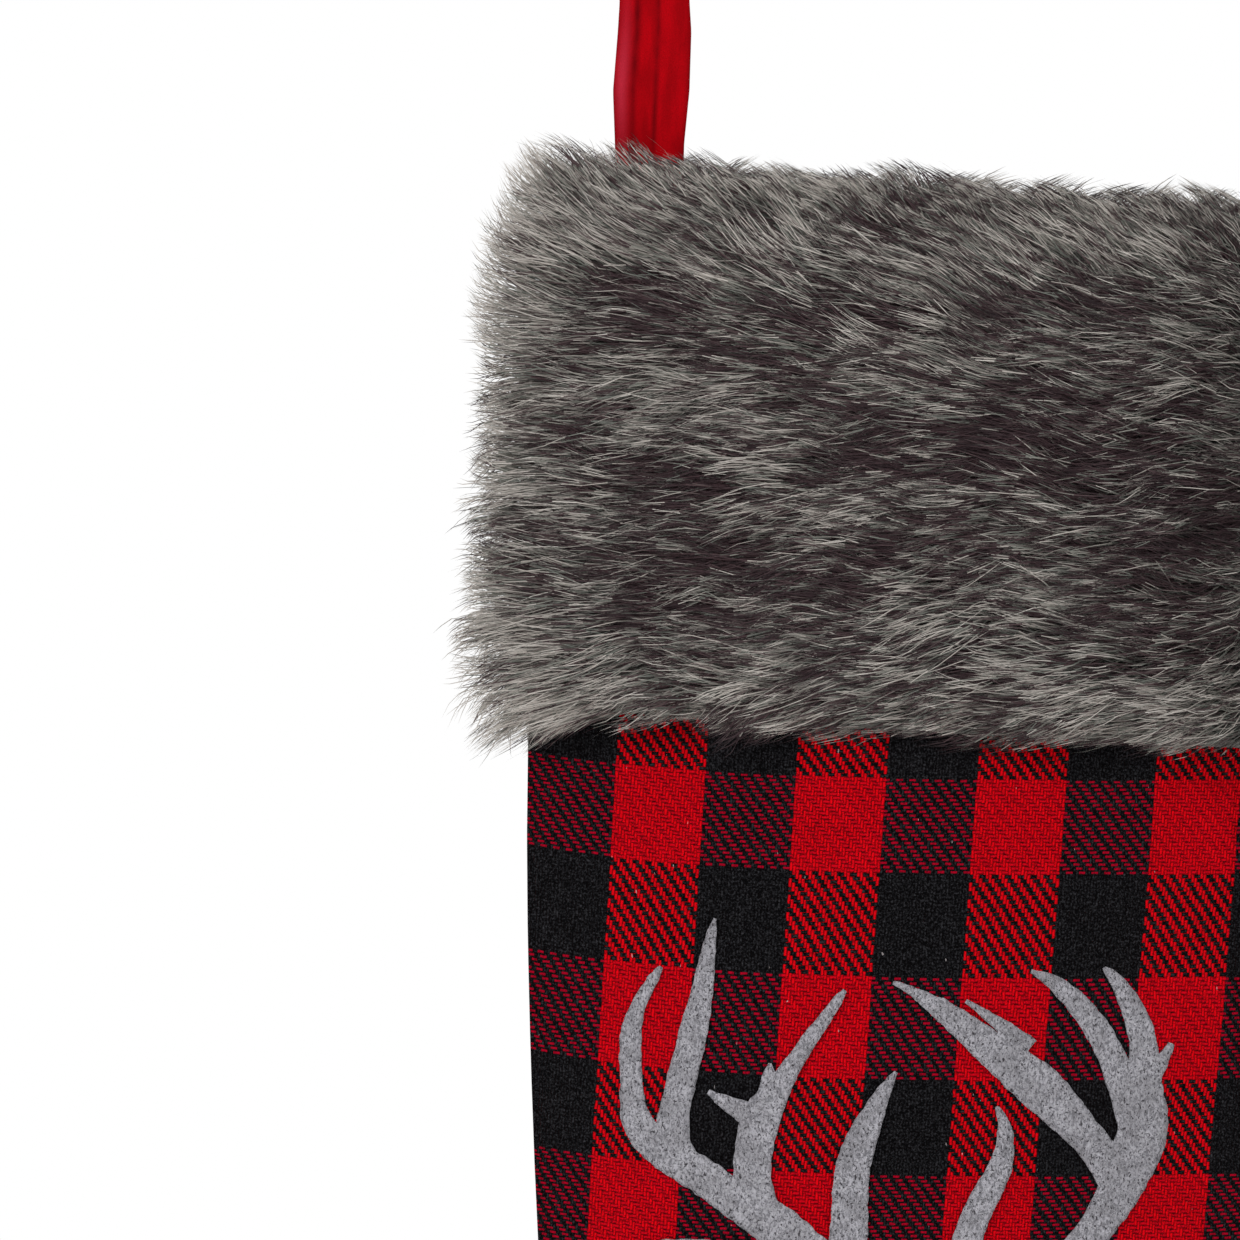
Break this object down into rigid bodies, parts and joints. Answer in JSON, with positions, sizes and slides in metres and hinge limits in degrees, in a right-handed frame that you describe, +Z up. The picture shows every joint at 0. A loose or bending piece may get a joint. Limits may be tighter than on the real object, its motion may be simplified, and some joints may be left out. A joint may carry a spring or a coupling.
{
  "type": "hanging christmas stocking",
  "caption": "Plaid stocking bag with a wide faux-fur cuff, a grey felt deer on the front and a velvet tape loop it hangs from.",
  "frame": {"origin": "centre of the round peg that the hanging loop goes over, in the middle of the tape", "axes": "+Z up, +X towards the toe, +Y towards the back, so that the decorated front faces -Y; the stocking hangs as it does on a peg, with its toe side 3.4 degrees down"},
  "size_m": [0.3251, 0.0692, 0.6224],
  "materials": {
    "plaid": "matte",
    "plaid_back": "matte",
    "lining": "satin",
    "fur": "matte",
    "facing": "matte",
    "velvet": "satin",
    "thread_red": "satin",
    "thread_black": "satin",
    "thread_grey": "satin",
    "felt": "matte",
    "web": "satin",
    "label": "satin"
  },
  "bodies": {
    "loop": {"hanging_loop": "velvet", "loop_topstitch_thread": "thread_red"},
    "stocking": {"plaid_panel_front": "plaid", "plaid_panel_back": "plaid_back", "plaid_seam_thread": "thread_black", "lining_front": "lining", "lining_back": "lining", "lining_seam_thread": "thread_black", "cuff_facing_front": "facing", "cuff_facing_back": "facing", "cuff_fur_front": "fur", "cuff_fur_back": "fur", "cuff_side_seam_threads": "thread_grey", "cuff_hem_thread": "thread_grey", "mouth_seam_thread": "thread_black", "loop_sewn_tails": "velvet", "loop_bartack_thread": "thread_red", "care_label": "label", "deer_felt": "felt", "deer_bonding_web": "web"}
  },
  "joints": [
    {"name": "loop_fold", "type": "hinge", "parent": "loop", "child": "stocking", "pos_m": [0, 0, -0.097], "axis": [1, 0, 0], "range_deg": [-70, 70]}
  ]
}
